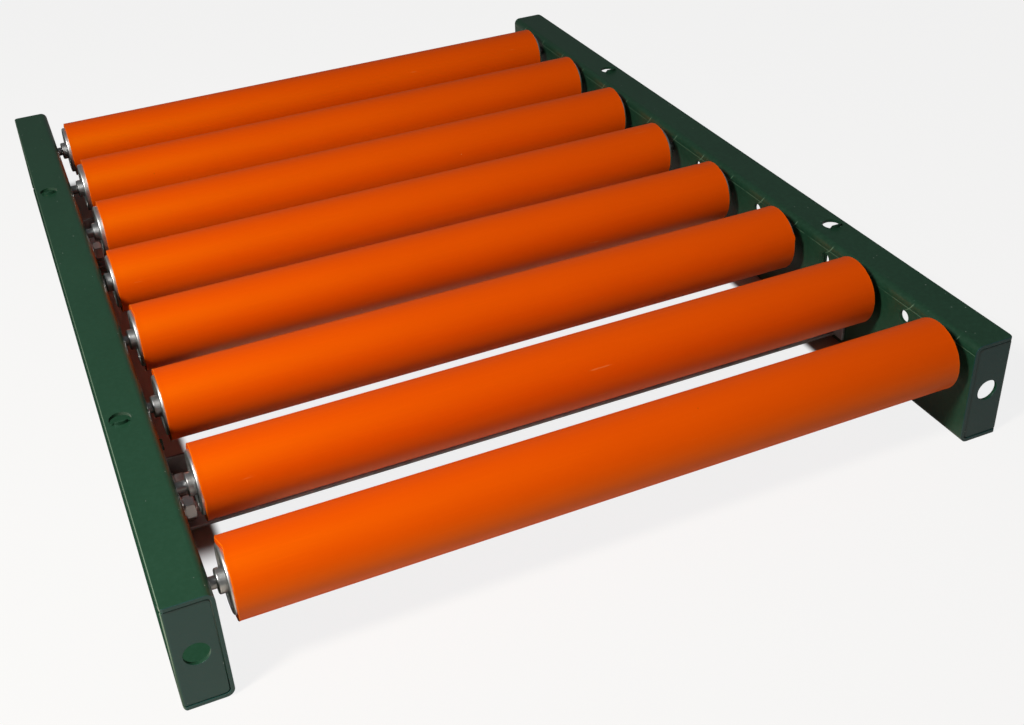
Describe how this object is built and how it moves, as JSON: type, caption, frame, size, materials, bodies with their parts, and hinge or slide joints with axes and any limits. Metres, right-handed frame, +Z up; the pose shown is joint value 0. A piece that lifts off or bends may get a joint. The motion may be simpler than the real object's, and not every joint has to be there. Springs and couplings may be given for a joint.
{
  "type": "gravity roller conveyor section",
  "caption": "Section of gravity roller conveyor: sleeved rollers on sprung axles between two channel rails, with cross members below and bolting plates in the rail ends.",
  "frame": {"origin": "middle of the footprint, on the surface that the rails' bottom flanges stand on", "axes": "+X across the conveyor from the left rail to the right rail, +Y along the rails away from the end that the picture shows in front, +Z up"},
  "size_m": [0.4716, 0.6096, 0.0731],
  "materials": {
    "green_paint": "semi-gloss",
    "orange_plastic": "glossy",
    "plated_steel": "bright plated",
    "bearing_steel": "ground",
    "axle_steel": "drawn",
    "galvanized_steel": "dull galvanized"
  },
  "bodies": {
    "frame": {"left_rail": "green_paint", "right_rail": "green_paint", "left_near_end_plate": "green_paint", "left_far_end_plate": "green_paint", "right_near_end_plate": "green_paint", "right_far_end_plate": "green_paint", "near_cross_member": "galvanized_steel", "far_cross_member": "galvanized_steel", "cross_member_bolts": "plated_steel", "cross_member_nuts": "plated_steel", "cross_member_washers": "plated_steel", "bearing_cones": "bearing_steel"},
    "roller_1": {"roller_1_sleeve": "orange_plastic", "roller_1_tube": "plated_steel", "roller_1_bearing_cups": "plated_steel", "roller_1_bearing_balls": "bearing_steel"},
    "axle_1": {"roller_1_axle": "axle_steel", "roller_1_axle_spring": "plated_steel"},
    "roller_2": {"roller_2_sleeve": "orange_plastic", "roller_2_tube": "plated_steel", "roller_2_bearing_cups": "plated_steel", "roller_2_bearing_balls": "bearing_steel"},
    "axle_2": {"roller_2_axle": "axle_steel", "roller_2_axle_spring": "plated_steel"},
    "roller_3": {"roller_3_sleeve": "orange_plastic", "roller_3_tube": "plated_steel", "roller_3_bearing_cups": "plated_steel", "roller_3_bearing_balls": "bearing_steel"},
    "axle_3": {"roller_3_axle": "axle_steel", "roller_3_axle_spring": "plated_steel"},
    "roller_4": {"roller_4_sleeve": "orange_plastic", "roller_4_tube": "plated_steel", "roller_4_bearing_cups": "plated_steel", "roller_4_bearing_balls": "bearing_steel"},
    "axle_4": {"roller_4_axle": "axle_steel", "roller_4_axle_spring": "plated_steel"},
    "roller_5": {"roller_5_sleeve": "orange_plastic", "roller_5_tube": "plated_steel", "roller_5_bearing_cups": "plated_steel", "roller_5_bearing_balls": "bearing_steel"},
    "axle_5": {"roller_5_axle": "axle_steel", "roller_5_axle_spring": "plated_steel"},
    "roller_6": {"roller_6_sleeve": "orange_plastic", "roller_6_tube": "plated_steel", "roller_6_bearing_cups": "plated_steel", "roller_6_bearing_balls": "bearing_steel"},
    "axle_6": {"roller_6_axle": "axle_steel", "roller_6_axle_spring": "plated_steel"},
    "roller_7": {"roller_7_sleeve": "orange_plastic", "roller_7_tube": "plated_steel", "roller_7_bearing_cups": "plated_steel", "roller_7_bearing_balls": "bearing_steel"},
    "axle_7": {"roller_7_axle": "axle_steel", "roller_7_axle_spring": "plated_steel"},
    "roller_8": {"roller_8_sleeve": "orange_plastic", "roller_8_tube": "plated_steel", "roller_8_bearing_cups": "plated_steel", "roller_8_bearing_balls": "bearing_steel"},
    "axle_8": {"roller_8_axle": "axle_steel", "roller_8_axle_spring": "plated_steel"}
  },
  "joints": [
    {"name": "roller_1_spin", "type": "hinge", "parent": "frame", "child": "roller_1", "pos_m": [0, -0.284, 0.0524], "axis": [1, 0, 0], "continuous": true},
    {"name": "axle_1_push", "type": "slide", "parent": "frame", "child": "axle_1", "axis": [-1, 0, 0], "range_m": [0, 0.0095], "stiffness_N_per_m": 300, "springref_m": -0.02, "deforming": ["roller_1_axle_spring"]},
    {"name": "roller_2_spin", "type": "hinge", "parent": "frame", "child": "roller_2", "pos_m": [0, -0.2078, 0.0524], "axis": [1, 0, 0], "continuous": true},
    {"name": "axle_2_push", "type": "slide", "parent": "frame", "child": "axle_2", "axis": [-1, 0, 0], "range_m": [0, 0.0095], "stiffness_N_per_m": 300, "springref_m": -0.02, "deforming": ["roller_2_axle_spring"]},
    {"name": "roller_3_spin", "type": "hinge", "parent": "frame", "child": "roller_3", "pos_m": [0, -0.1316, 0.0524], "axis": [1, 0, 0], "continuous": true},
    {"name": "axle_3_push", "type": "slide", "parent": "frame", "child": "axle_3", "axis": [-1, 0, 0], "range_m": [0, 0.0095], "stiffness_N_per_m": 300, "springref_m": -0.02, "deforming": ["roller_3_axle_spring"]},
    {"name": "roller_4_spin", "type": "hinge", "parent": "frame", "child": "roller_4", "pos_m": [0, -0.0554, 0.0524], "axis": [1, 0, 0], "continuous": true},
    {"name": "axle_4_push", "type": "slide", "parent": "frame", "child": "axle_4", "axis": [-1, 0, 0], "range_m": [0, 0.0095], "stiffness_N_per_m": 300, "springref_m": -0.02, "deforming": ["roller_4_axle_spring"]},
    {"name": "roller_5_spin", "type": "hinge", "parent": "frame", "child": "roller_5", "pos_m": [0, 0.0208, 0.0524], "axis": [1, 0, 0], "continuous": true},
    {"name": "axle_5_push", "type": "slide", "parent": "frame", "child": "axle_5", "axis": [-1, 0, 0], "range_m": [0, 0.0095], "stiffness_N_per_m": 300, "springref_m": -0.02, "deforming": ["roller_5_axle_spring"]},
    {"name": "roller_6_spin", "type": "hinge", "parent": "frame", "child": "roller_6", "pos_m": [0, 0.097, 0.0524], "axis": [1, 0, 0], "continuous": true},
    {"name": "axle_6_push", "type": "slide", "parent": "frame", "child": "axle_6", "axis": [-1, 0, 0], "range_m": [0, 0.0095], "stiffness_N_per_m": 300, "springref_m": -0.02, "deforming": ["roller_6_axle_spring"]},
    {"name": "roller_7_spin", "type": "hinge", "parent": "frame", "child": "roller_7", "pos_m": [0, 0.1732, 0.0524], "axis": [1, 0, 0], "continuous": true},
    {"name": "axle_7_push", "type": "slide", "parent": "frame", "child": "axle_7", "axis": [-1, 0, 0], "range_m": [0, 0.0095], "stiffness_N_per_m": 300, "springref_m": -0.02, "deforming": ["roller_7_axle_spring"]},
    {"name": "roller_8_spin", "type": "hinge", "parent": "frame", "child": "roller_8", "pos_m": [0, 0.2494, 0.0524], "axis": [1, 0, 0], "continuous": true},
    {"name": "axle_8_push", "type": "slide", "parent": "frame", "child": "axle_8", "axis": [-1, 0, 0], "range_m": [0, 0.0095], "stiffness_N_per_m": 300, "springref_m": -0.02, "deforming": ["roller_8_axle_spring"]}
  ]
}
